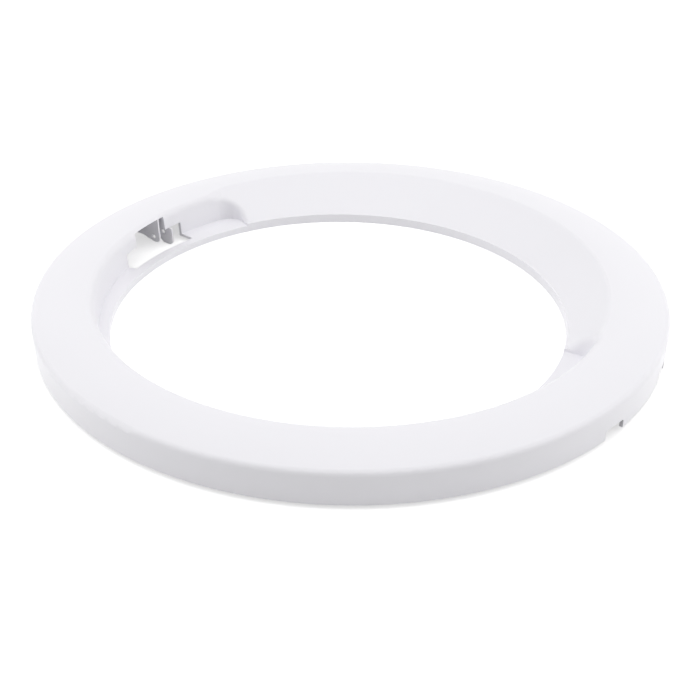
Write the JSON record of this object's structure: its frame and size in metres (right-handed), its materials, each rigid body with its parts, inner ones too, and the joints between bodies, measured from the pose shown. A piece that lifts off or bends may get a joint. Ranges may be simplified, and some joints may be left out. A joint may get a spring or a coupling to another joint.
{
  "type": "washing machine door frame",
  "caption": "Moulded ring that frames a front-loading washing machine's door, with an off-centre bore for the glass, a stepped and dished inner face, a handle window and hinge notches.",
  "frame": {"origin": "ring axis, on the plane that the lip rests on", "axes": "+Z out of the door's front along the ring axis, +X from the hinge side to the handle side, +Y up as the door hangs"},
  "size_m": [0.46, 0.46, 0.0294],
  "materials": {
    "white_plastic": "satin gloss"
  },
  "bodies": {
    "root": {"door_frame": "white_plastic"}
  },
  "joints": []
}
